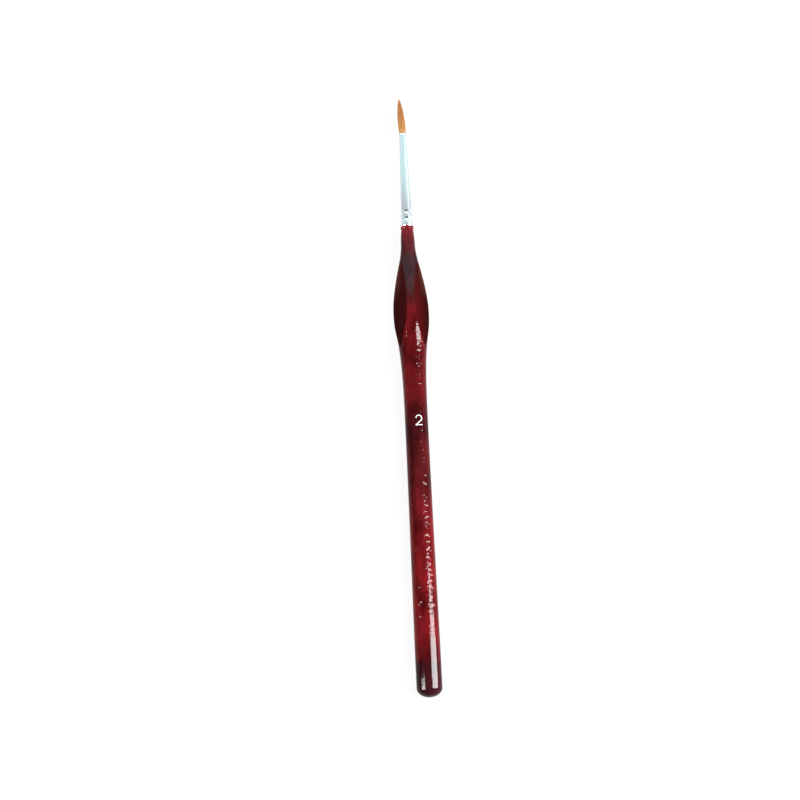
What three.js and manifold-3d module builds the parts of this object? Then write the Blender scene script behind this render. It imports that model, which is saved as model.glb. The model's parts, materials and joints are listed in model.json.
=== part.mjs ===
// Fine detail brush: a turned hardwood handle with a triangular grip, a crimped metal ferrule,
// and a tuft of hair that is tied, glued into the ferrule, and flexes in front of it.
// Millimetres, +Z up. The brush lies on a level surface with its hair towards +Y.
// While a piece is made, y = 0 is the handle's shoulder, which the ferrule's rear edge meets.
import * as THREE from 'three';
import { mergeVertices } from 'three/addons/utils/BufferGeometryUtils.js';
import Module from 'manifold-3d';

// Handle: distances run back from the shoulder, radii from the brush's axis.
const handleLength = 140.5;
const shoulderRadius = 1.8;
const beadHeight = 0.18;         // lacquer gathers in a small ring at the shoulder
const beadLength = 0.9;
const neckDistance = 5.15;
const neckRadius = 2.11;
const crestDistance = 25;        // thickest part of the grip, measured on its ridges
const crestRadius = 5.62;
const waistDistance = 56.2;
const waistRadius = 3.45;
const buttDistance = 128.8;      // the shaft is full width from here to the dome
const buttRadius = 3.81;
const domeLength = 2.8;
const neckBlend = 6.2;           // how far each turned curve runs level before it bends
const crestBlendFront = 6.3;
const crestBlendRear = 9.2;
const waistBlendFront = 25;
const waistBlendRear = 32.4;
const buttBlend = 10.4;
const tenonLength = 9;

// Grip: three flats are sanded on the bulge, 120 degrees apart, one of them facing down.
const facetCount = 3;
const facetDepthDistance = 24.2; // where the flat's distance from the axis is set
const facetDepth = 3.75;
const facetTilt = 3.55;          // degrees: a flat leaves the axis towards the butt
const landingDistance = 33.4;    // from here to its rear tip, a flat is eased level with the table

// Ferrule: distances run forward from the shoulder.
const ferruleLength = 28.65;
const ferruleRearRadius = 1.6;
const ferruleMouthRadius = 1;
const ferruleWall = 0.22;
const crimpDistances = [2.2, 4.35];
const dentCount = 8;
const dentRadius = 0.58;
const dentDepth = 0.16;

// Hair, thread and glue: depths run back from the ferrule's mouth.
const rootRadius = 0.62;
const rootDepth = 8;
const threadRadius = 0.06;
const threadTurns = 3;
const threadPitch = 0.17;
const threadDepth = 5.2;         // front turn of the binding
const glueFrontDepth = 6.2;
const glueRearDepth = 9.4;

// Free hair: distances run forward from the ferrule's mouth.
const tuftLength = 10.85;
const tuftBaseRadius = 0.72;
const bellyDistance = 3.1;
const bellyRadius = 1.15;
const tipRadius = 0.1;
const swellRise = 1.4;           // the hair spreads over this length as it leaves the mouth
const bellyBlend = 3.1;
const tipTaperLength = 2.3;
const tipTaperRadius = 0.65;
const tuftNames = ['hair_heel', 'hair_belly', 'hair_shoulder', 'hair_point'];
const swingLimit = 20;           // degrees that each length of hair bends at its rear end
const swingMargin = 2;

// Fits
const fitClearance = 0.05;       // radial gap of the pieces held inside the ferrule
const endGap = 0.1;              // gap between end faces that meet

// Fineness of the turned shapes
const handleSegments = 48;
const ferruleSegments = 48;
const smallSegments = 24;
const curveDivisions = 8;
const threadSteps = 16;          // per turn
const threadSides = 6;

const wasm = await Module();
wasm.setup();

const rad = THREE.MathUtils.degToRad;

const lacqueredWood = new THREE.MeshStandardMaterial({ color: 0x6a151a, roughness: 0.22, metalness: 0 });
const brightNickel = new THREE.MeshStandardMaterial({ color: 0xc6ccd0, roughness: 0.18, metalness: 1 });
const sableHair = new THREE.MeshStandardMaterial({ color: 0xb8763c, roughness: 0.6, metalness: 0 });
const amberGlue = new THREE.MeshStandardMaterial({ color: 0xc99a4e, roughness: 0.3, metalness: 0 });
const waxedThread = new THREE.MeshStandardMaterial({ color: 0xe4dcc8, roughness: 0.8, metalness: 0 });

// ---- shared shapes ----

// A turned solid. The points are [radius, y], with the outside of the wall going towards +Y.
// The first corner stands half a step round, so that the underside is a flat and not an edge.
function turned(points, segments) {
  const halfStep = Math.PI / segments;
  return new THREE.LatheGeometry(
    points.map(([radius, y]) => new THREE.Vector2(radius, y)), segments, halfStep);
}

function mergedPositions(geometry) {
  const bare = geometry.clone();
  bare.deleteAttribute('normal');
  bare.deleteAttribute('uv');
  return mergeVertices(bare, 1e-5);
}

function toManifold(geometry) {
  const merged = mergedPositions(geometry);
  const corners = merged.index.array;
  const triVerts = [];
  for (let i = 0; i < corners.length; i += 3) {
    const [a, b, c] = corners.slice(i, i + 3);
    if (a !== b && b !== c && c !== a) triVerts.push(a, b, c);
  }
  return new wasm.Manifold(new wasm.Mesh({
    numProp: 3,
    vertProperties: new Float32Array(merged.attributes.position.array),
    triVerts: new Uint32Array(triVerts),
  }));
}

function toGeometry(solid) {
  const mesh = solid.getMesh();
  const geometry = new THREE.BufferGeometry();
  geometry.setAttribute('position', new THREE.BufferAttribute(new Float32Array(mesh.vertProperties), 3));
  geometry.setIndex(new THREE.BufferAttribute(new Uint32Array(mesh.triVerts), 1));
  geometry.computeVertexNormals();
  return geometry;
}

function piece(name, geometry, material) {
  const mesh = new THREE.Mesh(geometry, material);
  mesh.name = name;
  return mesh;
}

// Radius of an outline at height y, where the outline rises steadily along y.
function radiusAt(outline, y) {
  const above = outline.findIndex((point) => point[1] >= y);
  if (above <= 0) return outline[above === 0 ? 0 : outline.length - 1][0];
  const [r0, y0] = outline[above - 1];
  const [r1, y1] = outline[above];
  return r0 + (r1 - r0) * (y - y0) / (y1 - y0);
}

// ---- ferrule ----

function ferruleOuter(y) {
  return ferruleRearRadius + (ferruleMouthRadius - ferruleRearRadius) * y / ferruleLength;
}

function ferruleInner(y) {
  return ferruleOuter(y) - ferruleWall;
}

// How far a round dent pushes the wall in, at a distance from the dent's centre.
function dentAt(distance) {
  return dentDepth * Math.max(0, 1 - (distance / dentRadius) ** 2);
}

const crimpRows = crimpDistances.flatMap(
  (distance) => [-1, -0.5, 0, 0.5, 1].map((share) => distance + share * dentRadius));

function ferruleGeometry() {
  const rows = [endGap, ...crimpRows, ferruleLength];
  const outside = rows.map((y) => [ferruleOuter(y), y]);
  const inside = rows.map((y) => [ferruleInner(y), y]).reverse();
  const geometry = turned([...outside, ...inside, outside[0]], ferruleSegments);
  const position = geometry.attributes.position;
  const point = new THREE.Vector3();
  const dentAngle = 2 * Math.PI / dentCount;
  for (let i = 0; i < position.count; i++) {
    point.fromBufferAttribute(position, i);
    const radius = Math.hypot(point.x, point.z);
    const angle = Math.atan2(point.x, point.z) / dentAngle;
    const along = (angle - Math.round(angle)) * dentAngle * radius;
    const press = crimpDistances.reduce(
      (deepest, distance) => Math.max(deepest, dentAt(Math.hypot(along, point.y - distance))), 0);
    const share = (radius - press) / radius;
    position.setXYZ(i, point.x * share, point.y, point.z * share);
  }
  return geometry;
}

// ---- handle ----

function handleOutline() {
  const outline = new THREE.Path();
  outline.absellipse(0, domeLength - handleLength, buttRadius, domeLength, -Math.PI / 2, 0, false);
  outline.lineTo(buttRadius, -buttDistance);
  outline.bezierCurveTo(buttRadius, buttBlend - buttDistance,
    waistRadius, -waistBlendRear - waistDistance, waistRadius, -waistDistance);
  outline.bezierCurveTo(waistRadius, waistBlendFront - waistDistance,
    crestRadius, -crestBlendRear - crestDistance, crestRadius, -crestDistance);
  outline.bezierCurveTo(crestRadius, crestBlendFront - crestDistance,
    neckRadius, -neckBlend - neckDistance, neckRadius, -neckDistance);
  outline.lineTo(shoulderRadius, -beadLength);
  outline.quadraticCurveTo(shoulderRadius + 2 * beadHeight, -beadLength / 2, shoulderRadius, 0);
  return outline.getPoints(curveDivisions).map((point) => [point.x, point.y]);
}

const outline = handleOutline();
outline[0][0] = 0;

// The brush lies on the landing of its lower flat and on the underside of its butt.
const landingDepth = facetDepth + (landingDistance - facetDepthDistance) * Math.tan(rad(facetTilt));
const buttUnderside = buttRadius * Math.cos(Math.PI / handleSegments);
const landingSlope = (landingDepth - buttUnderside) / (handleLength - domeLength - landingDistance);
const restTilt = THREE.MathUtils.radToDeg(Math.atan(landingSlope));

// The tenon fills the ferrule's rear end, and is pressed in where the crimps grip it.
function tenonOutline() {
  const rows = [0, ...crimpRows.filter((y) => y < tenonLength), tenonLength];
  return rows.map((y) => {
    const pressed = Math.max(...crimpDistances.map((distance) => dentAt(y - distance)));
    return [ferruleInner(y) - pressed - fitClearance, y];
  });
}

function handleGeometry() {
  let handle = toManifold(turned([...outline, ...tenonOutline(), [0, tenonLength]], handleSegments));
  for (let i = 0; i < facetCount; i++) {
    handle = handle.subtract(flatCutter(i, facetDepthDistance, facetDepth, facetTilt));
    handle = handle.subtract(flatCutter(i, landingDistance, landingDepth, -restTilt));
  }
  return toGeometry(handle);
}

// What is sanded off side i by a plane at a distance and depth from the axis, tilted by some degrees.
function flatCutter(i, distance, depth, tilt) {
  const cutterSize = 3 * crestRadius;
  const cutter = new THREE.BoxGeometry(2 * cutterSize, handleLength, cutterSize);
  cutter.translate(0, 0, -cutterSize / 2);
  cutter.rotateX(rad(tilt));
  cutter.translate(0, -distance, -depth);
  cutter.rotateY(2 * Math.PI * i / facetCount);
  return toManifold(cutter).intersect(gripZone());
}

// The flats stop at the bulge: the neck and the shaft stay round.
function gripZone() {
  const zone = new THREE.BoxGeometry(8 * crestRadius, waistDistance - neckDistance, 8 * crestRadius);
  zone.translate(0, -(waistDistance + neckDistance) / 2, 0);
  return toManifold(zone);
}

// ---- hair, thread and glue inside the ferrule ----

function hairRootGeometry() {
  const rear = ferruleLength - rootDepth;
  const front = ferruleLength - endGap;
  return turned([[0, rear], [rootRadius, rear], [rootRadius, front], [0, front]], smallSegments);
}

// A cup that holds the end of the hair and fills the bore behind it.
function gluePlugGeometry() {
  const rear = ferruleLength - glueRearDepth;
  const rim = ferruleLength - glueFrontDepth;
  const floor = ferruleLength - rootDepth - endGap;
  const socketRadius = rootRadius + fitClearance;
  return turned([
    [0, rear], [ferruleInner(rear) - fitClearance, rear], [ferruleInner(rim) - fitClearance, rim],
    [socketRadius, rim], [socketRadius, floor], [0, floor],
  ], smallSegments);
}

class Winding extends THREE.Curve {
  getPoint(t, target = new THREE.Vector3()) {
    const angle = 2 * Math.PI * threadTurns * t;
    const radius = rootRadius + fitClearance + threadRadius;
    const y = ferruleLength - threadDepth - threadPitch * threadTurns * t;
    return target.set(radius * Math.cos(angle), y, radius * Math.sin(angle));
  }
}

function threadGeometry() {
  const section = new THREE.Shape();
  section.absarc(0, 0, threadRadius, 0, 2 * Math.PI, false);
  return new THREE.ExtrudeGeometry(section, {
    curveSegments: threadSides,
    steps: threadSteps * threadTurns,
    extrudePath: new Winding(),
  });
}

// ---- free hair ----

function tuftOutline() {
  const side = new THREE.Path();
  const belly = ferruleLength + bellyDistance;
  const tip = ferruleLength + tuftLength;
  side.moveTo(tuftBaseRadius, ferruleLength);
  side.bezierCurveTo(bellyRadius, ferruleLength + swellRise / 2,
    bellyRadius, ferruleLength + swellRise, bellyRadius, belly);
  side.bezierCurveTo(bellyRadius, belly + bellyBlend, tipTaperRadius, tip - tipTaperLength, tipRadius, tip);
  return side.getPoints(curveDivisions).map((point) => [point.x, point.y]);
}

// One length of hair. Its rear is a shallow cone on its pivot, so that it clears what it bends against.
function tuftLengthGeometry(outlinePoints, rear, front) {
  const cone = bellyRadius * Math.tan(rad(swingLimit + swingMargin));
  const edge = rear + endGap + cone;
  const between = outlinePoints.filter(([, y]) => y > edge + endGap && y < front - endGap);
  return turned([
    [0, rear + endGap], [radiusAt(outlinePoints, edge), edge], ...between,
    [radiusAt(outlinePoints, front), front], [0, front],
  ], smallSegments);
}

// ---- assembly ----

const brush = new THREE.Group();
brush.add(piece('handle', handleGeometry(), lacqueredWood));
brush.add(piece('ferrule', ferruleGeometry(), brightNickel));
brush.add(piece('glue_plug', gluePlugGeometry(), amberGlue));
brush.add(piece('hair_root', hairRootGeometry(), sableHair));
brush.add(piece('binding_thread', threadGeometry(), waxedThread));

const hairSide = tuftOutline();
const flexLength = tuftLength / tuftNames.length;
tuftNames.forEach((name, i) => {
  const rear = ferruleLength + flexLength * i;
  brush.add(piece(name, tuftLengthGeometry(hairSide, rear, rear + flexLength), sableHair));
});

// The part's origin is under the middle of its length, on the surface it lies on.
brush.rotation.x = rad(restTilt);
const bounds = new THREE.Box3().setFromObject(brush, true);
brush.position.set(0, -(bounds.min.y + bounds.max.y) / 2, -bounds.min.z);

const part = new THREE.Group();
part.add(brush);
export default part;
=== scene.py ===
import json
import math

import bpy
import numpy as np
from mathutils import Matrix, Vector


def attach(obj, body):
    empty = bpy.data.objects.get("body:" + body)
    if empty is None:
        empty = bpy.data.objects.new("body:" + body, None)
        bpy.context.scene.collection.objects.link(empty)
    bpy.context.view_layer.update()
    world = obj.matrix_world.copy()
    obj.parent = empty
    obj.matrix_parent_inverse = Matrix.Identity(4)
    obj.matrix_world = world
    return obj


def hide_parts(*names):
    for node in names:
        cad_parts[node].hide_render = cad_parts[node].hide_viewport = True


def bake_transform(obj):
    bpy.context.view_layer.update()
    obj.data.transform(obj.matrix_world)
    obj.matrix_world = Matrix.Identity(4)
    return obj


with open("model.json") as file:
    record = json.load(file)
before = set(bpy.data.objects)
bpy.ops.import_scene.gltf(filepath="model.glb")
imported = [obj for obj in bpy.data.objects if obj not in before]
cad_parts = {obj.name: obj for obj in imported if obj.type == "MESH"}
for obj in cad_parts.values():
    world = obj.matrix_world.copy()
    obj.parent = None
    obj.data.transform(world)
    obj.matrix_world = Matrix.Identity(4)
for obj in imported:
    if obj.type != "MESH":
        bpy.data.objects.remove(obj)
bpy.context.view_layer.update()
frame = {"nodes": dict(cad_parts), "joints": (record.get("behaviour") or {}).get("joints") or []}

# ---- camera ----
# It looks down on the brush, steeply and from the butt's side. It is turned a little, so that the brush
# stands in the frame with its hair at the top and leans to the left.
aim = Vector((-0.00461, -0.00216, 0.0048))
view_distance = 0.56
view_height = math.radians(82.5)
view_turn = math.radians(2.71)
heading = Vector((math.sin(view_turn), math.cos(view_turn), 0))
camera = bpy.data.objects.new("camera", bpy.data.cameras.new("camera"))
bpy.context.scene.collection.objects.link(camera)
camera.location = aim - heading * view_distance * math.cos(view_height)
camera.location.z += view_distance * math.sin(view_height)
camera.rotation_euler = (aim - camera.location).to_track_quat("-Z", "Y").to_euler()
camera.data.lens = 84.66
camera.data.sensor_width = 36
camera.data.clip_start = 0.01
bpy.context.scene.camera = camera
bpy.context.scene.view_settings.view_transform = "Standard"

# ---- table ----
# A wide white sheet of card. Seen straight, in metal or through glass, its open parts read as white,
# and it still takes the brush's shadow.
card_colour = (0.9, 0.9, 0.9, 1)
card_glow = 0.9
card_half = 4
card_mesh = bpy.data.meshes.new("table")
card_corners = [(-card_half, -card_half, 0), (card_half, -card_half, 0),
                (card_half, card_half, 0), (-card_half, card_half, 0)]
card_mesh.from_pydata(card_corners, [], [(0, 1, 2, 3)])
table = bpy.data.objects.new("table", card_mesh)
bpy.context.scene.collection.objects.link(table)
card = bpy.data.materials.new("white_card")
card.use_nodes = True
card_nodes, card_links = card.node_tree.nodes, card.node_tree.links
card_shader = card_nodes["Principled BSDF"]
card_shader.inputs["Base Color"].default_value = card_colour
card_shader.inputs["Roughness"].default_value = 0.9
card_shader.inputs["Specular IOR Level"].default_value = 0
card_rays = card_nodes.new("ShaderNodeLightPath")
card_seen = card_rays.outputs["Is Camera Ray"]
for ray in ("Is Glossy Ray", "Is Transmission Ray"):
    either = card_nodes.new("ShaderNodeMath")
    either.operation = "MAXIMUM"
    card_links.new(card_seen, either.inputs[0])
    card_links.new(card_rays.outputs[ray], either.inputs[1])
    card_seen = either.outputs[0]
card_share = card_nodes.new("ShaderNodeMath")
card_share.operation = "MULTIPLY"
card_share.inputs[1].default_value = card_glow
card_light = card_nodes.new("ShaderNodeEmission")
card_light.inputs["Strength"].default_value = 1
card_mix = card_nodes.new("ShaderNodeMixShader")
card_links.new(card_seen, card_share.inputs[0])
card_links.new(card_share.outputs[0], card_mix.inputs[0])
card_links.new(card_shader.outputs[0], card_mix.inputs[1])
card_links.new(card_light.outputs[0], card_mix.inputs[2])
card_links.new(card_mix.outputs[0], card_nodes["Material Output"].inputs["Surface"])
card_mesh.materials.append(card)

# ---- studio ----
# A pale wall ahead of the hair with a window high in it, a dim band round the horizon and a dark room
# behind. Two soft boxes light the brush. Strips of light and a dim screen beside it only show in gloss.
world = bpy.data.worlds.new("room")
bpy.context.scene.world = world
world.use_nodes = True
room_nodes, room_links = world.node_tree.nodes, world.node_tree.links
room = room_nodes["Background"]
room.inputs["Color"].default_value = (0.96, 0.99, 1, 1)
room_way = room_nodes.new("ShaderNodeSeparateXYZ")
room_links.new(room_nodes.new("ShaderNodeTexCoord").outputs["Generated"], room_way.inputs[0])


def wall(axis, near, far, dark, bright):
    """Brightness that changes smoothly from dark to bright between two shares of a direction."""
    made = room_nodes.new("ShaderNodeMapRange")
    made.interpolation_type = "SMOOTHSTEP"
    for label, number in (("From Min", near), ("From Max", far), ("To Min", dark), ("To Max", bright)):
        made.inputs[label].default_value = number
    room_links.new(room_way.outputs[axis], made.inputs["Value"])
    return made.outputs["Result"]


def joined_walls(operation, first, second):
    """Two brightnesses of the room joined into one."""
    made = room_nodes.new("ShaderNodeMath")
    made.operation = operation
    room_links.new(first, made.inputs[0])
    room_links.new(second, made.inputs[1])
    return made.outputs[0]


pale_wall = wall("Y", 0.10, 0.24, 0.08, 0.95)
horizon = wall("Z", 0.24, 0.10, 0, 0.35)
room_light = joined_walls("MAXIMUM", pale_wall, horizon)
window = joined_walls("MULTIPLY", wall("Y", 0.42, 0.54, 0, 2.3), wall("Y", 0.68, 0.82, 1, 0))
# The window is brighter by this share where gloss and metal show it.
window_sparkle = 0.55
in_gloss = room_nodes.new("ShaderNodeMath")
in_gloss.operation = "MULTIPLY_ADD"
in_gloss.inputs[1].default_value = window_sparkle
in_gloss.inputs[2].default_value = 1
room_links.new(room_nodes.new("ShaderNodeLightPath").outputs["Is Glossy Ray"], in_gloss.inputs[0])
window = joined_walls("MULTIPLY", window, in_gloss.outputs[0])
room_links.new(joined_walls("MAXIMUM", room_light, window), room.inputs["Strength"])


def soft_box(name, place, width, height, brightness, lights=True, shows=True):
    """A lit panel that faces the brush level with itself. Width runs along the brush."""
    lamp = bpy.data.lights.new(name, "AREA")
    lamp.shape = "RECTANGLE"
    lamp.size, lamp.size_y = width, height
    lamp.energy = brightness * width * height * math.pi
    box = bpy.data.objects.new(name, lamp)
    box.location = place
    box.rotation_euler = (Vector((0, place[1], 0)) - Vector(place)).to_track_quat("-Z", "Y").to_euler()
    box.visible_diffuse = lights
    box.visible_glossy = shows
    bpy.context.scene.collection.objects.link(box)


soft_box("day_right", (0.33, -0.10, 0.48), 0.30, 0.30, 14.5, shows=False)
soft_box("day_left", (-0.42, -0.02, 0.45), 0.24, 0.24, 7, shows=False)
soft_box("strip_right_near", (0.460, -0.113, 0.337), 0.094, 0.55, 86, lights=False)
soft_box("strip_right_middle", (0.417, -0.047, 0.389), 0.038, 0.18, 86, lights=False)
soft_box("strip_right_far", (0.512, -0.055, 0.250), 0.022, 0.16, 86, lights=False)
soft_box("strip_left", (-0.467, -0.213, 0.327), 0.174, 0.34, 75, lights=False)
soft_box("screen_right", (0.545, 0.185, 0.11), 0.24, 0.38, 0.78, lights=False)

# ---- handle ----
# One hardwood stick, turned to a slim neck, a full grip and a long shaft, with three flats sanded on
# the grip. It is stained dark red, then dipped in clear gloss lacquer, which pools in a ring at the
# shoulder. Its own sizes are in millimetres, and distances run back from the shoulder.
MM = 0.001
hinges = [Vector(joint["pos_m"]) for joint in frame["joints"]]
mouth = hinges[0]
forward = (hinges[-1] - mouth).normalized()
sideways = Vector((1, 0, 0))
ferrule_length = 28.65 * MM
# Pieces are made with the handle's shoulder at the origin and the hair towards +Y, then laid down.
lie = Matrix((sideways, forward, sideways.cross(forward))).transposed().to_4x4()
lie.translation = mouth - forward * ferrule_length

handle_length = 140.5
shoulder_radius = 1.8
bead_height, bead_length = 0.18, 0.9
neck, neck_radius, neck_blend = 5.15, 2.11, 6.2
crest, crest_radius, crest_blend_front, crest_blend_rear = 25, 5.62, 6.3, 9.2
waist, waist_radius, waist_blend_front, waist_blend_rear = 56.2, 3.45, 25, 32.4
butt, butt_radius, butt_blend = 128.8, 3.81, 10.4
dome_length = 2.8
tenon_length, tenon_radius_rear, tenon_radius_front = 9, 1.3, 1.12
tenon_chamfer, tenon_chamfer_start = 0.04, 0.98
lip_width, lip_depth = 0.06, 0.02
root_of_tenon = 0.05
bead_steps, bead_fullness = 10, 0.7
neck_steps, grip_front_steps, grip_rear_steps, shaft_steps, dome_steps = 12, 90, 110, 50, 16
flat_count, flat_depth, flat_place, flat_tilt = 3, 3.75, 24.2, math.radians(3.55)
landing_place = 33.4
edge_softness = 0.22
least_sanding = 0.03
handle_around = 168


def laid(name, corners, faces, material):
    """A smooth mesh object made at the shoulder and laid on the brush's line."""
    mesh = bpy.data.meshes.new(name)
    mesh.from_pydata([tuple(corner) for corner in corners], [], faces)
    mesh.transform(lie)
    mesh.shade_smooth()
    mesh.materials.append(material)
    piece = bpy.data.objects.new(name, mesh)
    bpy.context.scene.collection.objects.link(piece)
    return piece


def ring_faces(rows, around, closed_loop):
    """Quads between rings of corners, and back from the last ring to the first for a tube with a bore."""
    faces = []
    for row in range(rows if closed_loop else rows - 1):
        here, there = row * around, (row + 1) % rows * around
        for i in range(around):
            j = (i + 1) % around
            faces.append((here + i, here + j, there + j, there + i))
    return faces


def curve(start, pull_start, pull_end, end, steps):
    """Points on a turned curve, as (distance behind the shoulder, radius)."""
    t = np.linspace(0, 1, steps)[:, None]
    a, b, c, d = (np.array(p, float) for p in (start, pull_start, pull_end, end))
    return (1 - t) ** 3 * a + 3 * (1 - t) ** 2 * t * b + 3 * (1 - t) * t * t * c + t ** 3 * d


bead = [(bead_length * k / bead_steps,
         shoulder_radius + bead_height * math.sin(math.pi * k / bead_steps) ** bead_fullness)
        for k in range(bead_steps + 1)]
neck_line = [(bead_length + (neck - bead_length) * k / neck_steps,
              shoulder_radius + (neck_radius - shoulder_radius) * math.sin(math.pi / 2 * k / neck_steps))
             for k in range(1, neck_steps)]
grip_front = curve((neck, neck_radius), (neck + neck_blend, neck_radius),
                   (crest - crest_blend_front, crest_radius), (crest, crest_radius), grip_front_steps)
grip_rear = curve((crest, crest_radius), (crest + crest_blend_rear, crest_radius),
                  (waist - waist_blend_front, waist_radius), (waist, waist_radius), grip_rear_steps)
shaft = curve((waist, waist_radius), (waist + waist_blend_rear, waist_radius),
              (butt - butt_blend, butt_radius), (butt, butt_radius), shaft_steps)
dome_start = handle_length - dome_length
dome = [(dome_start + dome_length * math.sin(math.pi / 2 * k / dome_steps),
         butt_radius * math.cos(math.pi / 2 * k / dome_steps)) for k in range(dome_steps)]
tenon = [(-tenon_length, tenon_radius_front),
         (-tenon_length * tenon_chamfer_start, tenon_radius_front + tenon_chamfer),
         (-root_of_tenon, tenon_radius_rear), (-lip_depth, shoulder_radius - lip_width)]
handle_rows = np.vstack([tenon, bead, neck_line, grip_front, grip_rear[1:], shaft[1:], dome])

# Each flat cuts the turned shape where the wood faces it, with its last stretch eased level with the
# table. A smooth minimum of the two softens the flat's rim.
facing_least, no_flat = 0.2, 99
handle_angles = np.arange(handle_around) * 2 * np.pi / handle_around
distance, radius = handle_rows[:, :1], handle_rows[:, 1:]
landing_depth = flat_depth + (landing_place - flat_place) * math.tan(flat_tilt)
landing_slope = (landing_depth - butt_radius) / (dome_start - landing_place)
flat_reach = flat_depth + (distance - flat_place) * math.tan(flat_tilt)
flat_reach = np.minimum(flat_reach, landing_depth - (distance - landing_place) * landing_slope)
turned = np.repeat(radius, handle_around, axis=1)
sanded = turned.copy()
for k in range(flat_count):
    facing = np.cos(handle_angles - np.pi - 2 * np.pi * k / flat_count)[None, :]
    flat_radius = np.where(facing > facing_least, flat_reach / np.maximum(facing, facing_least), no_flat)
    share = np.clip(0.5 + 0.5 * (flat_radius - sanded) / edge_softness, 0, 1)
    cut = flat_radius * (1 - share) + sanded * share - edge_softness * share * (1 - share)
    in_grip = (distance > neck) & (distance < waist)
    sanded = np.where(in_grip, np.minimum(cut, sanded), sanded)
handle_points = np.stack([sanded * np.sin(handle_angles), -np.repeat(distance, handle_around, axis=1),
                          sanded * np.cos(handle_angles)], axis=2).reshape(-1, 3)
on_flat = np.append((turned - sanded > least_sanding).reshape(-1), [False, False])
rows = len(handle_rows)
handle_faces = ring_faces(rows, handle_around, False)
handle_points = np.vstack([handle_points, [[0, tenon_length, 0]], [[0, -handle_length, 0]]]) * MM
front_pole = rows * handle_around
rear_pole = front_pole + 1
last_ring = (rows - 1) * handle_around
for i in range(handle_around):
    j = (i + 1) % handle_around
    handle_faces.append((front_pole, j, i))
    handle_faces.append((rear_pole, last_ring + i, last_ring + j))

# Streaks that run along the brush, as in wood grain and drawn metal.
streaks = bpy.data.node_groups.new("streaks", "ShaderNodeTree")
for label, usual in (("Across", 3000.0), ("Along", 150.0), ("Detail", 4.0)):
    socket = streaks.interface.new_socket(label, in_out="INPUT", socket_type="NodeSocketFloat")
    socket.default_value = usual
streaks.interface.new_socket("Value", in_out="OUTPUT", socket_type="NodeSocketFloat")
streaks_in = streaks.nodes.new("NodeGroupInput")
streaks_out = streaks.nodes.new("NodeGroupOutput")
streaks_place = streaks.nodes.new("ShaderNodeTexCoord")
streaks_scale = streaks.nodes.new("ShaderNodeCombineXYZ")
streaks_stretch = streaks.nodes.new("ShaderNodeVectorMath")
streaks_stretch.operation = "MULTIPLY"
streaks_noise = streaks.nodes.new("ShaderNodeTexNoise")
streaks_noise.inputs["Scale"].default_value = 1
streaks_noise.inputs["Roughness"].default_value = 0.6
streaks.links.new(streaks_in.outputs["Across"], streaks_scale.inputs["X"])
streaks.links.new(streaks_in.outputs["Along"], streaks_scale.inputs["Y"])
streaks.links.new(streaks_in.outputs["Across"], streaks_scale.inputs["Z"])
streaks.links.new(streaks_place.outputs["Object"], streaks_stretch.inputs[0])
streaks.links.new(streaks_scale.outputs[0], streaks_stretch.inputs[1])
streaks.links.new(streaks_stretch.outputs[0], streaks_noise.inputs["Vector"])
streaks.links.new(streaks_in.outputs["Detail"], streaks_noise.inputs["Detail"])
streaks.links.new(streaks_noise.outputs["Fac"], streaks_out.inputs["Value"])


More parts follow.
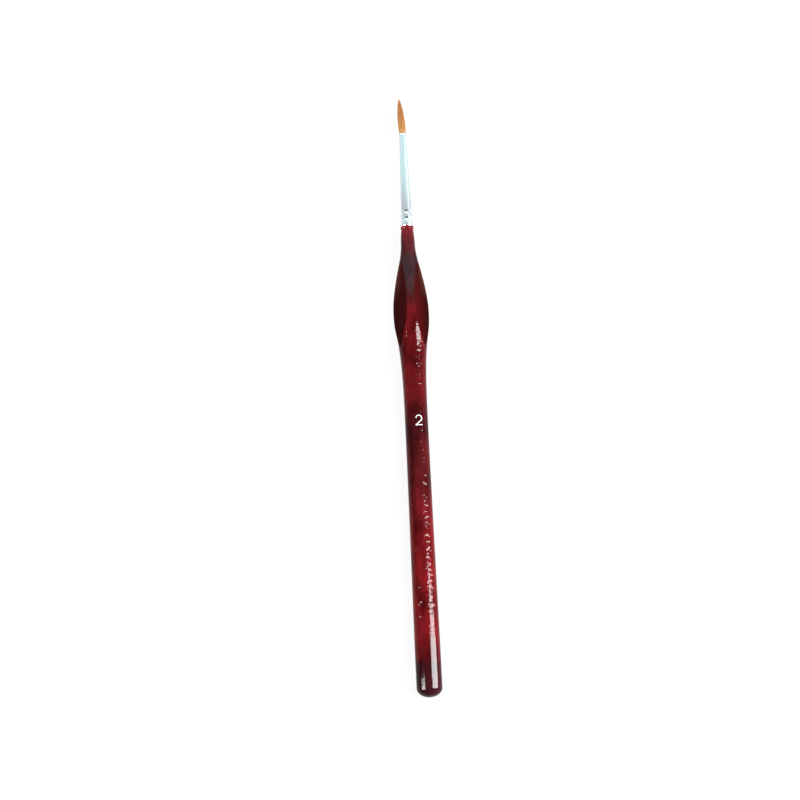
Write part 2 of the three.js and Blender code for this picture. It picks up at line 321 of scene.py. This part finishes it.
class Finish:
    """A material on the Principled shader, with short calls to add and join its nodes."""

    def __init__(self, name, roughness=0.5, metallic=0.0, specular=0.5):
        self.material = bpy.data.materials.new(name)
        self.material.use_nodes = True
        self.nodes = self.material.node_tree.nodes
        self.shader = self.nodes["Principled BSDF"]
        self.shader.inputs["Roughness"].default_value = roughness
        self.shader.inputs["Metallic"].default_value = metallic
        self.shader.inputs["Specular IOR Level"].default_value = specular

    def node(self, kind, **settings):
        made = self.nodes.new(kind)
        for label, value in settings.items():
            setattr(made, label, value)
        return made

    def join(self, output, target):
        self.material.node_tree.links.new(output, target)

    def streaks(self, across, along, detail=4.0):
        """Streaks of so many to a metre across and along the brush."""
        made = self.node("ShaderNodeGroup", node_tree=streaks)
        made.inputs["Across"].default_value = across
        made.inputs["Along"].default_value = along
        made.inputs["Detail"].default_value = detail
        return made.outputs["Value"]

    def noise(self, scale, stretch=1.0, detail=3.0, roughness=0.5):
        """Even mottling, drawn out along the brush by a stretch above 1."""
        place = self.node("ShaderNodeTexCoord")
        turn = self.node("ShaderNodeMapping")
        turn.inputs["Scale"].default_value = (1, 1 / stretch, 1)
        made = self.node("ShaderNodeTexNoise")
        made.inputs["Scale"].default_value = scale
        made.inputs["Detail"].default_value = detail
        made.inputs["Roughness"].default_value = roughness
        self.join(place.outputs["Object"], turn.inputs["Vector"])
        self.join(turn.outputs["Vector"], made.inputs["Vector"])
        return made.outputs["Fac"]

    def place(self, axis):
        """How far along one axis a point of the piece lies, in metres."""
        split = self.node("ShaderNodeSeparateXYZ")
        self.join(self.node("ShaderNodeTexCoord").outputs["Object"], split.inputs[0])
        return split.outputs[axis]

    def ramp(self, value, stops):
        """Colours at stops along a value, and smooth steps between them."""
        made = self.node("ShaderNodeValToRGB")
        steps = made.color_ramp.elements
        steps.remove(steps[1])
        steps[0].position = stops[0][0]
        for position, _ in stops[1:]:
            steps.new(position)
        for step, (_, colour) in zip(steps, stops):
            step.color = (*colour, 1)
        self.join(value, made.inputs["Fac"])
        return made.outputs["Color"]

    def range(self, value, low, high, to_low=0.0, to_high=1.0):
        """A value taken from one range to another, and held at the ends."""
        made = self.node("ShaderNodeMapRange")
        numbers = {"From Min": low, "From Max": high, "To Min": to_low, "To Max": to_high}
        for label, number in numbers.items():
            made.inputs[label].default_value = number
        self.join(value, made.inputs["Value"])
        return made.outputs["Result"]

    def blend(self, share, first, second, how="MIX"):
        """Two colours mixed. The colours are the Mix node's inputs 6 and 7 and its output 2."""
        made = self.node("ShaderNodeMix", data_type="RGBA", blend_type=how)
        for value, target in ((share, made.inputs[0]), (first, made.inputs[6]), (second, made.inputs[7])):
            if isinstance(value, (float, tuple)):
                target.default_value = value
            else:
                self.join(value, target)
        return made.outputs[2]

    def bump(self, height, depth, under=None):
        """Relief of a depth in metres, laid over another relief if one is given."""
        made = self.node("ShaderNodeBump")
        made.inputs["Distance"].default_value = depth
        self.join(height, made.inputs["Height"])
        if under:
            self.join(under, made.inputs["Normal"])
        return made.outputs["Normal"]

    def colour(self, output):
        self.join(output, self.shader.inputs["Base Color"])

    def rough(self, output):
        self.join(output, self.shader.inputs["Roughness"])

    def normal(self, output):
        self.join(output, self.shader.inputs["Normal"])


def stained(finish, tones, clouding, roughness, ripple):
    """Red stain whose tone changes along the handle, clouded and grained, under lacquer that lies on
    the open pores in fine ripples. The ripples are weaker on the butt and from the grip's crest forward."""
    stain_rear, stain_front = -0.0905, 0.0505
    along = finish.range(finish.place("Y"), stain_rear, stain_front)
    stops = [((place - stain_rear) / (stain_front - stain_rear), tone) for place, tone in tones]
    shade = finish.ramp(along, stops)
    clouds = finish.range(finish.noise(150, stretch=2.2, detail=4, roughness=0.6), 0.36, 0.64, *clouding)
    grain = finish.range(finish.streaks(2600, 110, detail=3), 0.36, 0.56, 0.8, 1.0)
    pores = finish.range(finish.noise(3800, stretch=5, detail=2), 0.3, 0.42, 0.6, 1.0)
    for mark in (clouds, grain, pores):
        shade = finish.blend(1.0, shade, mark, "MULTIPLY")
    finish.rough(finish.range(finish.noise(500, stretch=1.5), 0.3, 0.7, *roughness))
    swell = finish.bump(finish.noise(560, stretch=0.8, detail=1), ripple / 2)
    dimple_height = finish.range(finish.noise(1050, stretch=0.9, detail=0), 0.36, 0.64)
    dimples = finish.bump(dimple_height, ripple, swell)
    smooth_butt = finish.range(finish.place("Y"), -0.077, -0.064, 0.15, 1.0)
    smooth_crest = finish.range(finish.place("Y"), 0.023, 0.014, 0.4, 1.0)
    dimple_strength = finish.blend(1.0, smooth_butt, smooth_crest, "MULTIPLY")
    finish.join(dimple_strength, dimples.node.inputs["Strength"])
    finish.join(smooth_butt, swell.node.inputs["Strength"])
    finish.normal(dimples)
    return shade


turned_wood = Finish("red_lacquered_wood", specular=0.08)
turned_tones = [
    # the butt, darker over its last stretch
    (-0.0905, (0.04, 0.008, 0.0105)), (-0.0802, (0.045, 0.006, 0.008)),
    # the shaft, red at both ends and darker in the middle
    (-0.0786, (0.115, 0.0055, 0.0072)), (-0.055, (0.125, 0.0055, 0.0072)),
    (-0.040, (0.115, 0.0055, 0.0072)), (-0.028, (0.072, 0.0055, 0.0072)),
    (-0.010, (0.06, 0.0055, 0.0072)), (0.0, (0.105, 0.0055, 0.0072)),
    # the grip, almost black on its front half
    (0.019, (0.11, 0.0055, 0.0072)), (0.022, (0.072, 0.0045, 0.006)),
    (0.0245, (0.09, 0.0045, 0.006)), (0.0275, (0.055, 0.0045, 0.006)),
    (0.0305, (0.024, 0.004, 0.0055)), (0.040, (0.028, 0.006, 0.008)),
    # the neck, brightest at the bead
    (0.0435, (0.07, 0.01, 0.013)), (0.0465, (0.11, 0.012, 0.016)), (0.0505, (0.24, 0.018, 0.023))]
turned_wood.colour(stained(turned_wood, turned_tones, clouding=(0.5, 1.65),
                           roughness=(0.04, 0.08), ripple=0.00003))

# Sanded wood is darker than the turned wood. Painted shade, as from light on the right, leaves the left flat
# darker than the right, the two alike at the front, and darkens the right flat's outer edge; painted light
# brightens the flats near the ridge. Low at the front, a brown painted reflection of a tan table lies over
# them.
sanded_wood = Finish("red_lacquered_flat", specular=0.006)
sanded_tones = [(0.008, (0.052, 0.0014, 0.002)), (0.026, (0.062, 0.0014, 0.002)),
                (0.031, (0.058, 0.0024, 0.003)), (0.040, (0.06, 0.008, 0.008))]
flat_shade = stained(sanded_wood, sanded_tones, clouding=(0.85, 1.15), roughness=(0.3, 0.42), ripple=0.000012)
# Painted shade: the left flat darker than the right, as if lit from the right, the two alike at the front.
painted_light_from_right = sanded_wood.range(sanded_wood.place("X"), -0.002, 0.002, 0.46, 1.0)
front_end = sanded_wood.range(sanded_wood.place("Y"), 0.028, 0.037)
painted_side_light = sanded_wood.blend(front_end, painted_light_from_right, (0.72, 0.72, 0.72, 1))
# Painted shade on the right flat's outer edge, and painted light near the ridge.
painted_edge_shade = sanded_wood.range(sanded_wood.place("X"), 0.002, 0.0044, 1.0, 0.55)
painted_ridge_light = sanded_wood.range(sanded_wood.place("Z"), 0.0035, 0.0078, 0.75, 1.2)
for painted_light in (painted_side_light, painted_edge_shade, painted_ridge_light):
    flat_shade = sanded_wood.blend(1.0, flat_shade, painted_light, "MULTIPLY")
# Painted reflection: a brown veil of a tan table, low on the front of the flats.
low_side = sanded_wood.range(sanded_wood.place("Z"), 0.0064, 0.0024, 0.0, 0.95)
painted_table_reflection = sanded_wood.blend(1.0, low_side, front_end, "MULTIPLY")
sanded_wood.colour(sanded_wood.blend(painted_table_reflection, flat_shade, (0.165, 0.054, 0.04, 1)))

handle = laid("lacquered_handle", handle_points, handle_faces, turned_wood.material)
handle.data.materials.append(sanded_wood.material)
for face in handle.data.polygons:
    if on_flat[face.vertices[0]] and on_flat[face.vertices[2]]:
        face.material_index = 1
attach(handle, "brush_body")
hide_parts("handle")

# ---- ferrule ----
# A seamless brass tube, drawn to a taper and plated with bright nickel. Two rings of round dents,
# pressed in from outside, grip the handle's tenon. Distances run forward from the handle's shoulder.
ferrule_rear_radius, ferrule_mouth_radius, ferrule_wall = 1.6, 1.0, 0.22
ferrule_start, rim_round = 0.1, 0.05
crimp_rings = (2.2, 4.35)
dent_count, dent_radius, dent_depth, dent_rim = 8, 0.6, 0.17, 0.25
ferrule_around = 144
tube_length = ferrule_length / MM
rear_land, crimp_margin, crimp_step = 0.6, 1.2, 0.06
plain_rows, plain_start, plain_end = 24, crimp_rings[1] + 1.6, tube_length - 0.3
crimp_zone = np.arange(crimp_rings[0] - crimp_margin, crimp_rings[1] + crimp_margin, crimp_step)
tube_rows = np.concatenate([[ferrule_start, ferrule_start + rim_round, rear_land], crimp_zone,
                            np.linspace(plain_start, plain_end, plain_rows),
                            [tube_length - rim_round, tube_length]])
tube_outer = ferrule_rear_radius + (ferrule_mouth_radius - ferrule_rear_radius) * tube_rows / tube_length
tube_outer[[0, -1]] -= rim_round
tube_inner = tube_outer - ferrule_wall
tube_inner[[0, -1]] += rim_round
tube_profile = np.vstack([np.column_stack([tube_rows, tube_outer]),
                          np.column_stack([tube_rows, tube_inner])[::-1]])
tube_angles = np.arange(ferrule_around) * 2 * np.pi / ferrule_around
tube_points = np.stack([tube_profile[:, 1:] * np.sin(tube_angles),
                        np.repeat(tube_profile[:, :1], ferrule_around, axis=1),
                        tube_profile[:, 1:] * np.cos(tube_angles)], axis=2).reshape(-1, 3) * MM
tube_faces = [face[::-1] for face in ring_faces(len(tube_profile), ferrule_around, True)]

# The plate's cyan tint and its grey rear are painted reflections of the room, and beside the handle it is
# lighter again.
nickel = Finish("bright_nickel", metallic=1)
nickel.shader.inputs["Specular Tint"].default_value = (0.6, 0.66, 0.68, 1)
drawn = nickel.streaks(7000, 60, detail=2)
# Painted reflection: a cyan tint for the pale room ahead.
plate = nickel.ramp(nickel.noise(300, stretch=4), [(0.3, (0.66, 0.86, 0.91)), (0.7, (0.73, 0.93, 0.97))])
# Painted reflection: greyer towards the rear.
grey_rear_reflection = nickel.range(nickel.place("Y"), 0.066, 0.056, 0.0, 0.85)
plate = nickel.blend(grey_rear_reflection, plate, (0.54, 0.57, 0.6, 1))
bright_end = nickel.range(nickel.place("Y"), 0.0550, 0.0525, 0.0, 0.7)
plate = nickel.blend(bright_end, plate, (0.7, 0.86, 0.9, 1))
draw_lines = nickel.range(nickel.streaks(1500, 9, detail=2), 0.36, 0.62, 0.9, 1.0)
nickel.colour(nickel.blend(1.0, plate, draw_lines, "MULTIPLY"))
nickel.rough(nickel.range(drawn, 0.3, 0.7, 0.16, 0.26))
nickel.normal(nickel.bump(drawn, 0.000006))


class Tree:
    """A Geometry Nodes tree with named inputs, and short calls for its maths."""

    def __init__(self, name, inputs):
        self.tree = bpy.data.node_groups.new(name, "GeometryNodeTree")
        sockets = self.tree.interface
        sockets.new_socket("Geometry", in_out="INPUT", socket_type="NodeSocketGeometry")
        for label, kind, value in inputs:
            socket = sockets.new_socket(label, in_out="INPUT", socket_type=kind)
            if value is not None:
                socket.default_value = value
        sockets.new_socket("Geometry", in_out="OUTPUT", socket_type="NodeSocketGeometry")
        self.entry = self.tree.nodes.new("NodeGroupInput").outputs
        self.leave = self.tree.nodes.new("NodeGroupOutput").inputs["Geometry"]

    def join(self, value, target):
        if isinstance(value, (bool, int, float, str, tuple)):
            target.default_value = value
        else:
            self.tree.links.new(value, target)

    def node(self, kind, values=(), **settings):
        made = self.tree.nodes.new(kind)
        for label, value in settings.items():
            setattr(made, label, value)
        for target, value in dict(values).items():
            self.join(value, made.inputs[target])
        return made

    def math(self, operation, *values):
        made = self.node("ShaderNodeMath", operation=operation)
        for value, target in zip(values, made.inputs):
            self.join(value, target)
        return made.outputs[0]

    def vector(self, x, y, z):
        return self.node("ShaderNodeCombineXYZ", {0: x, 1: y, 2: z}).outputs[0]

    def finished(self, geometry):
        """Ends the tree with real geometry in the tree's own material."""
        real = self.node("GeometryNodeRealizeInstances", {"Geometry": geometry}).outputs[0]
        clad = self.node("GeometryNodeSetMaterial", {"Geometry": real, "Material": self.entry["Finish"]})
        self.join(clad.outputs[0], self.leave)

    def grow(self, piece, values):
        """Applies the tree to a piece, its inputs set by identifier, and leaves a plain mesh."""
        modifier = piece.modifiers.new(self.tree.name, "NODES")
        modifier.node_group = self.tree
        for item in self.tree.interface.items_tree:
            if item.in_out == "INPUT" and item.name in values:
                modifier[item.identifier] = values[item.name]
        evaluated = piece.evaluated_get(bpy.context.evaluated_depsgraph_get())
        mesh = bpy.data.meshes.new_from_object(evaluated)
        piece.modifiers.remove(modifier)
        piece.data = mesh
        mesh.name = piece.name


# The crimp tree presses each corner of the tube towards the axis, the deepest in the middle of a dent.
crimp = Tree("crimp", [("Dents", "NodeSocketFloat", 8.0), ("Dent Radius", "NodeSocketFloat", 0.0006),
                       ("Dent Depth", "NodeSocketFloat", 0.0002), ("First Ring", "NodeSocketFloat", 0.0022),
                       ("Second Ring", "NodeSocketFloat", 0.0044), ("Finish", "NodeSocketMaterial", None)])
spot = crimp.node("ShaderNodeSeparateXYZ", {0: crimp.node("GeometryNodeInputPosition").outputs[0]}).outputs
spot_radius = crimp.math("SQRT", crimp.math("ADD", crimp.math("MULTIPLY", spot[0], spot[0]),
                                            crimp.math("MULTIPLY", spot[2], spot[2])))
step_angle = crimp.math("DIVIDE", 2 * math.pi, crimp.entry["Dents"])
steps_round = crimp.math("DIVIDE", crimp.math("ARCTAN2", spot[0], spot[2]), step_angle)
off_dent = crimp.math("SUBTRACT", steps_round, crimp.math("ROUND", steps_round))
along_arc = crimp.math("MULTIPLY", crimp.math("MULTIPLY", off_dent, step_angle), spot_radius)
press = 0.0
for ring in ("First Ring", "Second Ring"):
    from_ring = crimp.math("SUBTRACT", spot[1], crimp.entry[ring])
    squares = crimp.math("ADD", crimp.math("MULTIPLY", along_arc, along_arc),
                         crimp.math("MULTIPLY", from_ring, from_ring))
    reach = crimp.math("DIVIDE", crimp.math("SQRT", squares), crimp.entry["Dent Radius"])
    bowl = crimp.math("SUBTRACT", 1.0, crimp.math("MULTIPLY", reach, reach))
    bowl = crimp.math("SMOOTH_MAX", bowl, 0.0, dent_rim)
    press = crimp.math("MAXIMUM", press, bowl)
depth = crimp.math("DIVIDE", crimp.math("MULTIPLY", press, crimp.entry["Dent Depth"]), spot_radius)
inward = crimp.math("MULTIPLY", depth, -1.0)
pushed = crimp.vector(crimp.math("MULTIPLY", spot[0], inward), 0.0, crimp.math("MULTIPLY", spot[2], inward))
dented = crimp.node("GeometryNodeSetPosition", {"Geometry": crimp.entry["Geometry"], "Offset": pushed})
crimp.finished(dented.outputs[0])

tube_mesh = bpy.data.meshes.new("nickel_ferrule")
tube_mesh.from_pydata([tuple(point) for point in tube_points], [], tube_faces)
tube_mesh.shade_smooth()
ferrule = bpy.data.objects.new("nickel_ferrule", tube_mesh)
bpy.context.scene.collection.objects.link(ferrule)
crimp.grow(ferrule, {
    "Dents": float(dent_count), "Dent Radius": dent_radius * MM, "Dent Depth": dent_depth * MM,
    "First Ring": crimp_rings[0] * MM, "Second Ring": crimp_rings[1] * MM, "Finish": nickel.material})
ferrule.data.transform(lie)
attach(ferrule, "brush_body")
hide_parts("ferrule")

# ---- glue ----
# Amber epoxy, poured on the hair's roots inside the ferrule, where it set as a cup round the end of the
# hair. Only its colour is added here, to its own solid.
glue = Finish("amber_epoxy", roughness=0.25)
glue.colour(glue.ramp(glue.noise(900), [(0.3, (0.42, 0.2, 0.05)), (0.7, (0.62, 0.36, 0.12))]))
glue.normal(glue.bump(glue.noise(2400), 0.00004))
frame["nodes"]["glue_plug"].data.materials[0] = glue.material

# ---- binding thread ----
# Waxed cotton, wound three times round the roots before the hair goes into the ferrule. Only its
# colour is added here, to its own solid.
cotton = Finish("waxed_cotton", roughness=0.8)
cotton.colour(cotton.ramp(cotton.noise(5000), [(0.35, (0.6, 0.55, 0.42)), (0.65, (0.85, 0.8, 0.68))]))
cotton.normal(cotton.bump(cotton.noise(9000), 0.00003))
frame["nodes"]["binding_thread"].data.materials[0] = cotton.material

# ---- hair ----
# Several hundred sable hairs, all set in the glue, spreading a little in front of the mouth and drawn
# to a point that leans to one side. The bundle is grown in four lengths, one for each hinge.
tuft_length = 10.85 * MM
root_depth = 8 * MM
belly_radius = 1.15 * MM
tuft_lean = -0.58 * MM
hair_count, hair_sides, hair_seed = 620, 5, 3
hair_radius = 0.047 * MM
hair_taper, fullness, lean_ease = 0.72, 0.96, 1.2
shortfall_most, shortfall_ease = 0.33, 2.2
least_length = 0.2 * MM
lock_width, lock_drift, lock_scale, lock_depth = 1.6, 0.8, 1.4, 0.5
wander_rate, wander_reach = 3.0, 0.16 * MM

sable = Finish("sable_hair", roughness=0.42, specular=0.35)
tone = sable.node("ShaderNodeAttribute", attribute_name="hair_tone").outputs["Fac"]
hair_shade = sable.ramp(tone, [(0.0, (0.13, 0.038, 0.008)), (0.3, (0.45, 0.15, 0.034)),
                               (0.75, (0.62, 0.235, 0.058)), (1.0, (0.86, 0.44, 0.11))])
paler_base = sable.range(sable.place("Y"), 0.0855, 0.0805, 0.0, 0.4)
hair_shade = sable.blend(paler_base, hair_shade, (0.72, 0.39, 0.13, 1))
bleached_tip = sable.range(sable.place("Y"), 0.086, 0.0905, 0.0, 0.3)
sable.colour(sable.blend(bleached_tip, hair_shade, (0.72, 0.37, 0.14, 1)))

bundle = Tree("hair_bundle", [
    ("Hairs", "NodeSocketInt", 600), ("Hair Radius", "NodeSocketFloat", 0.00004),
    ("Belly Radius", "NodeSocketFloat", 0.001), ("Root Depth", "NodeSocketFloat", 0.008),
    ("Tuft Length", "NodeSocketFloat", 0.01), ("Lean", "NodeSocketFloat", 0.0),
    ("From", "NodeSocketFloat", 0.0), ("To", "NodeSocketFloat", 0.01), ("Stations", "NodeSocketInt", 6),
    ("Seed", "NodeSocketInt", 3), ("Finish", "NodeSocketMaterial", None)])
seeds = bundle.node("GeometryNodePoints", {"Count": bundle.entry["Hairs"]}).outputs[0]
number = bundle.node("GeometryNodeInputIndex").outputs[0]


def draw(salt):
    """A random share for each hair, the same in every length of the bundle."""
    made = bundle.node("FunctionNodeRandomValue", data_type="FLOAT")
    bundle.join(number, made.inputs["ID"])
    bundle.join(bundle.math("ADD", bundle.entry["Seed"], float(salt)), made.inputs["Seed"])
    plain_number = made.outputs[1]
    return plain_number


def stored(geometry, label, value):
    """The seeds with one number written down for each of them."""
    values = {"Geometry": geometry, "Name": label, "Value": value}
    made = bundle.node("GeometryNodeStoreNamedAttribute", values, data_type="FLOAT", domain="POINT")
    return made.outputs[0]


def recalled(label):
    """The number that was written down under a label."""
    return bundle.node("GeometryNodeInputNamedAttribute", {"Name": label}, data_type="FLOAT").outputs[0]


# The seeds lie in a golden spiral, which fills a round bundle evenly, and the outer hairs may be shorter.
golden_angle = math.pi * (3 - math.sqrt(5))
rank = bundle.math("SQRT", bundle.math("DIVIDE", bundle.math("ADD", number, 0.5), bundle.entry["Hairs"]))
seeds = stored(seeds, "hair_rank", rank)
seeds = stored(seeds, "hair_turn", bundle.math("MULTIPLY", number, golden_angle))
seeds = stored(seeds, "hair_tone", draw(1))
shortfall = bundle.math("MULTIPLY", bundle.math("POWER", draw(2), shortfall_ease),
                        bundle.math("MULTIPLY", rank, shortfall_most))
own_length = bundle.math("MULTIPLY", bundle.entry["Tuft Length"], bundle.math("SUBTRACT", 1.0, shortfall))
seeds = stored(seeds, "hair_length", own_length)
least_end = bundle.math("ADD", bundle.entry["From"], least_length)
too_short = bundle.math("LESS_THAN", recalled("hair_length"), least_end)
seeds = bundle.node("GeometryNodeDeleteGeometry", {"Geometry": seeds, "Selection": too_short}).outputs[0]
line = bundle.node("GeometryNodeCurvePrimitiveLine").outputs[0]
strand = bundle.node("GeometryNodeResampleCurve", {"Curve": line, "Count": bundle.entry["Stations"]})
strands = bundle.node("GeometryNodeInstanceOnPoints", {"Points": seeds, "Instance": strand.outputs[0]})
strands = bundle.node("GeometryNodeRealizeInstances", {"Geometry": strands.outputs[0]}).outputs[0]

# Each hair keeps its place in the bundle from the glue to the tip, and the bundle's outline sets how
# far out it stands: tight in the ferrule, full at the belly, then drawn in. The outline gives shares of
# the whole length, from the root's end, and shares of the belly's radius.
root_end, tip_end = (0, 0.549), (1, 0.06)
share = bundle.node("GeometryNodeSplineParameter").outputs["Factor"]
end = bundle.math("MINIMUM", bundle.entry["To"], recalled("hair_length"))
stretch = bundle.math("SUBTRACT", end, bundle.entry["From"])
ahead = bundle.math("MULTIPLY_ADD", share, stretch, bundle.entry["From"])
whole = bundle.math("ADD", bundle.entry["Root Depth"], bundle.entry["Tuft Length"])
along = bundle.math("DIVIDE", bundle.math("ADD", ahead, bundle.entry["Root Depth"]), whole)
spread = bundle.node("ShaderNodeFloatCurve", {"Value": along})
outline = spread.mapping.curves[0]
bundle_outline = [(0.40, 0.56), (0.4244, 0.64), (0.438, 0.88), (0.472, 0.96), (0.541, 0.98), (0.6, 0.975),
                  (0.658, 0.94), (0.737, 0.84), (0.813, 0.71), (0.87, 0.59), (0.923, 0.44), (0.976, 0.22)]
for place, height in bundle_outline:
    outline.points.new(place, height)
outline.points[0].location = root_end
outline.points[len(outline.points) - 1].location = tip_end
spread.mapping.update()
free = bundle.math("DIVIDE", bundle.math("MAXIMUM", ahead, 0.0), bundle.entry["Tuft Length"])
turn = recalled("hair_turn")
lock_place = bundle.vector(bundle.math("MULTIPLY", bundle.math("COSINE", turn), lock_width),
                           bundle.math("MULTIPLY", free, lock_drift),
                           bundle.math("MULTIPLY", bundle.math("SINE", turn), lock_width))
lock = bundle.node("ShaderNodeTexNoise", {"Vector": lock_place, "Scale": lock_scale}).outputs[0]
lock = bundle.math("MULTIPLY", bundle.math("SUBTRACT", lock, 0.5), bundle.math("MULTIPLY", free, lock_depth))
stand = bundle.math("MULTIPLY", recalled("hair_rank"), bundle.math("ADD", 1.0, lock))
reach = bundle.math("MULTIPLY", spread.outputs[0], bundle.entry["Belly Radius"])
reach = bundle.math("MULTIPLY", reach, stand)
reach = bundle.math("MULTIPLY", reach, fullness)
bend = bundle.math("MULTIPLY", bundle.math("POWER", free, lean_ease), bundle.entry["Lean"])
wander_place = bundle.vector(bundle.math("MULTIPLY", turn, wander_rate),
                             bundle.math("MULTIPLY", free, wander_rate), 0.0)
wander = bundle.node("ShaderNodeTexNoise", {"Vector": wander_place, "Scale": 1.0}).outputs["Color"]
wander = bundle.node("ShaderNodeVectorMath", {0: wander, 1: (0.5, 0.5, 0.5)}, operation="SUBTRACT")
wander_size = bundle.math("MULTIPLY", free, wander_reach)
wander = bundle.node("ShaderNodeVectorMath", {0: wander.outputs[0], "Scale": wander_size}, operation="SCALE")
place = bundle.vector(bundle.math("MULTIPLY_ADD", reach, bundle.math("SINE", turn), bend), ahead,
                      bundle.math("MULTIPLY", reach, bundle.math("COSINE", turn)))
place = bundle.node("ShaderNodeVectorMath", {0: place, 1: wander.outputs[0]}, operation="ADD").outputs[0]
strands = bundle.node("GeometryNodeSetPosition", {"Geometry": strands, "Position": place}).outputs[0]
thinning = bundle.math("MULTIPLY", bundle.math("POWER", free, 2.0), hair_taper)
taper = bundle.math("SUBTRACT", 1.0, thinning)
section = bundle.node("GeometryNodeCurvePrimitiveCircle", {
    "Resolution": hair_sides, "Radius": bundle.entry["Hair Radius"]})
hairs = bundle.node("GeometryNodeCurveToMesh", {
    "Curve": strands, "Profile Curve": section.outputs[0], "Scale": taper, "Fill Caps": True})
bundle.finished(hairs.outputs[0])

# For each length: its name, where it starts, the body that holds it, the body that bends it, the
# solids that it stands for, and the points along one hair.
flex_length = (hinges[1] - mouth).length
lengths = [("hair_at_mouth", -root_depth, "brush_body", "heel", ["hair_root", "hair_heel"], 9),
           ("hair_at_belly", 0.5 * flex_length, "heel", "belly", ["hair_belly"], 6),
           ("hair_at_shoulder", 1.5 * flex_length, "belly", "shoulder", ["hair_shoulder"], 6),
           ("hair_at_point", 2.5 * flex_length, "shoulder", "point", ["hair_point"], 9)]
at_mouth = lie @ Matrix.Translation((0, ferrule_length, 0))
for k, (name, start, held, bent, nodes, stations) in enumerate(lengths):
    stop = lengths[k + 1][1] if k + 1 < len(lengths) else tuft_length
    tuft = bpy.data.objects.new(name, bpy.data.meshes.new(name))
    bpy.context.scene.collection.objects.link(tuft)
    bundle.grow(tuft, {
        "Hairs": hair_count, "Hair Radius": hair_radius, "Belly Radius": belly_radius,
        "Root Depth": root_depth, "Tuft Length": tuft_length, "Lean": tuft_lean, "From": start, "To": stop,
        "Stations": stations, "Seed": hair_seed, "Finish": sable.material})
    tuft.data.transform(at_mouth)
    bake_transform(tuft)
    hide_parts(*nodes)

# ---- size digit ----
# A plain white numeral that tells the size of the hair. It is printed in thick ink on the top of the
# shaft, just behind the grip.
digit_place, digit_height, digit_width, digit_stroke = 59.2, 3.12, 2.1, 0.27
digit_turn = math.radians(11)
ink_lift, ink_thickness, ink_step, columns = 0.004, 0.03, 0.12, 5
arch_start, arch_end, arch_steps = 168, -32, 26
slant_inset = 0.62
arch_radius = digit_width / 2 - digit_stroke / 2
arch_middle = digit_height / 2 - digit_stroke / 2 - arch_radius
foot = -digit_height / 2 + digit_stroke / 2
arch = [(arch_radius * math.cos(angle), arch_middle + arch_radius * math.sin(angle))
        for angle in np.radians(np.linspace(arch_start, arch_end, arch_steps))]
slant_end = (-digit_width / 2 + digit_stroke * slant_inset, foot)
strokes = [[*arch, slant_end], [(-digit_width / 2, foot), (digit_width / 2, foot)]]


def ribbon(path, width, step):
    """Left and right edges of a stroke of even width, in steps close enough to follow the shaft."""
    path = np.array(path, float)
    pieces = [path[:1]]
    for a, b in zip(path[:-1], path[1:]):
        count = max(1, int(np.linalg.norm(b - a) / step))
        pieces.append(a + (b - a) * (np.arange(1, count + 1) / count)[:, None])
    path = np.vstack(pieces)
    along = np.gradient(path, axis=0)
    along /= np.linalg.norm(along, axis=1)[:, None]
    across = np.column_stack([-along[:, 1], along[:, 0]]) * width / 2
    return path + across, path - across


# Each stroke is a closed strip: an upper skin, an under skin just inside the wood, and a border between.
ink_points, ink_faces = [], []
for stroke in strokes:
    left, right = ribbon(stroke, digit_stroke, ink_step)
    base = len(ink_points)
    count = len(left)
    for level in (ink_thickness + ink_lift, -ink_lift):
        for a, b in zip(left, right):
            for c in range(columns):
                x, y = a + (b - a) * c / (columns - 1)
                behind = digit_place - y
                around = float(np.interp(behind, handle_rows[:, 0], handle_rows[:, 1])) + level
                turn_here = digit_turn + x / around
                ink_points.append((around * math.sin(turn_here), -behind, around * math.cos(turn_here)))
    under = base + count * columns
    for r in range(count - 1):
        for c in range(columns - 1):
            p = base + r * columns + c
            ink_faces.append((p, p + columns, p + columns + 1, p + 1))
            q = under + r * columns + c
            ink_faces.append((q, q + 1, q + columns + 1, q + columns))
    border = [base + r * columns for r in range(count)]
    border += [base + (count - 1) * columns + c for c in range(1, columns)]
    border += [base + r * columns + columns - 1 for r in range(count - 2, -1, -1)]
    border += [base + c for c in range(columns - 2, 0, -1)]
    drop = count * columns
    for a, b in zip(border, border[1:] + border[:1]):
        ink_faces.append((a, b, b + drop, a + drop)[::-1])
ink = Finish("white_ink", roughness=0.35)
ink.colour(ink.ramp(ink.noise(3000), [(0.3, (0.8, 0.8, 0.78)), (0.6, (0.9, 0.9, 0.89))]))
digit = laid("size_digit", np.array(ink_points) * MM, ink_faces, ink.material)
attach(digit, "brush_body")
